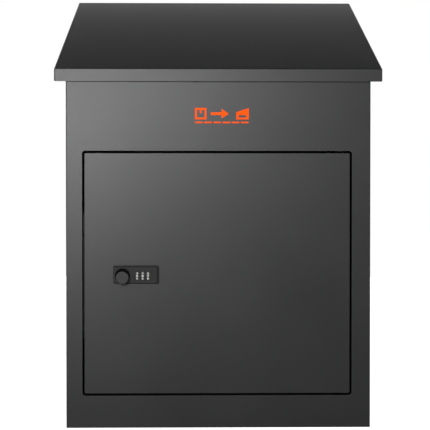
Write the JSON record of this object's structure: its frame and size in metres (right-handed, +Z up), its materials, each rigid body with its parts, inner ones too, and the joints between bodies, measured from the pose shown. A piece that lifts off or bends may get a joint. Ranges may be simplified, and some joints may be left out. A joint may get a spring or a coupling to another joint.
{
  "type": "parcel drop box",
  "caption": "Lockable sheet-steel parcel drop box with a sloping top lid, a front collection door with a dial lock, and a lid-driven anti-theft baffle.",
  "frame": {"origin": "centre of the floor anchor pattern, on the underside of the floor panel", "axes": "+Z up, front towards -Y, +X to the right of someone facing the front"},
  "size_m": [0.4422, 0.3536, 0.629],
  "materials": {
    "powder_coat": "fine-textured powder coat",
    "galvanised": "zinc plated",
    "bright_steel": "turned",
    "foam": "closed-cell foam",
    "rubber": "matte",
    "acetal": "moulded",
    "lock_black": "satin",
    "deep_black": "matte",
    "black_steel": "black oxide",
    "dial_black": "satin",
    "orange": "printed film"
  },
  "bodies": {
    "cabinet": {"front_panel": "powder_coat", "left_side_panel": "powder_coat", "right_side_panel": "powder_coat", "rear_panel": "powder_coat", "floor_panel": "powder_coat", "floor_mat": "foam", "lid_seal": "foam", "lid_bumpers": "rubber", "door_hinge_bushes": "deep_black", "latch_keeper": "powder_coat", "keeper_bumpers": "rubber", "baffle_bearings": "acetal", "bearing_nuts": "galvanised", "lid_hinge_fixed_leaf": "galvanised", "lid_hinge_pin": "bright_steel", "hinge_rivets": "galvanised", "drop_symbol": "orange"},
    "lid": {"lid_panel": "powder_coat", "lid_stiffener": "powder_coat", "lid_hinge_moving_leaf": "galvanised", "lid_crank_left": "galvanised", "lid_crank_right": "galvanised", "upper_link_pins": "bright_steel", "upper_pin_clips": "galvanised"},
    "drop_links": {"drop_link_left": "galvanised", "drop_link_right": "galvanised"},
    "baffle": {"baffle_plate": "powder_coat", "baffle_edge_trim": "rubber", "baffle_arm_left": "galvanised", "baffle_arm_right": "galvanised", "baffle_shaft": "bright_steel", "arm_rivets": "galvanised", "lower_link_pins": "bright_steel", "lower_pin_clips": "galvanised"},
    "door": {"door_panel": "powder_coat", "door_stiffener": "powder_coat", "door_pivot_blocks": "galvanised", "door_hinge_pins": "black_steel", "lock_base": "deep_black", "lock_faceplate": "lock_black", "knob_collar": "deep_black", "lock_housing": "lock_black", "lock_clamp_plate": "galvanised", "lock_screws": "galvanised", "dial_axle": "bright_steel", "dial_detent_springs": "bright_steel"},
    "lock_knob": {"lock_knob": "lock_black", "key_plug": "black_steel", "lock_spindle": "bright_steel", "lock_cam": "galvanised", "cam_nut": "galvanised"},
    "dial_1": {"dial_1": "dial_black"},
    "dial_2": {"dial_2": "dial_black"},
    "dial_3": {"dial_3": "dial_black"},
    "reset_button": {"reset_button": "lock_black"}
  },
  "joints": [
    {"name": "lid_hinge", "type": "hinge", "parent": "cabinet", "child": "lid", "pos_m": [0, 0.1575, 0.62172], "axis": [-1, 0, 0], "range_deg": [0, 80]},
    {"name": "link_pivot", "type": "hinge", "parent": "lid", "child": "drop_links", "pos_m": [0, 0.12303, 0.59279], "axis": [-1, 0, 0], "range_deg": [-80, 0]},
    {"name": "baffle_hinge", "type": "hinge", "parent": "cabinet", "child": "baffle", "pos_m": [0, 0.1575, 0.4], "axis": [-1, 0, 0], "range_deg": [0, 80]},
    {"name": "door_hinge", "type": "hinge", "parent": "cabinet", "child": "door", "pos_m": [0.1689, -0.1665, 0.2091], "axis": [0, 0, 1], "range_deg": [0, 110]},
    {"name": "lock_turn", "type": "hinge", "parent": "door", "child": "lock_knob", "pos_m": [-0.1292, -0.165, 0.204], "axis": [0, 1, 0], "range_deg": [0, 90]},
    {"name": "dial_1_turn", "type": "hinge", "parent": "door", "child": "dial_1", "pos_m": [-0.1098, -0.1709, 0.2061], "axis": [1, 0, 0], "continuous": true},
    {"name": "dial_2_turn", "type": "hinge", "parent": "door", "child": "dial_2", "pos_m": [-0.10245, -0.1709, 0.2061], "axis": [1, 0, 0], "continuous": true},
    {"name": "dial_3_turn", "type": "hinge", "parent": "door", "child": "dial_3", "pos_m": [-0.0951, -0.1709, 0.2061], "axis": [1, 0, 0], "continuous": true},
    {"name": "reset_press", "type": "slide", "parent": "door", "child": "reset_button", "axis": [0, -1, 0], "range_m": [0, 0.002], "stiffness_N_per_m": 200, "springref_m": -0.001}
  ],
  "couplings": [
    {"joint": "baffle_hinge", "follows": "lid_hinge", "ratio": 1},
    {"joint": "link_pivot", "follows": "lid_hinge", "ratio": -1}
  ]
}
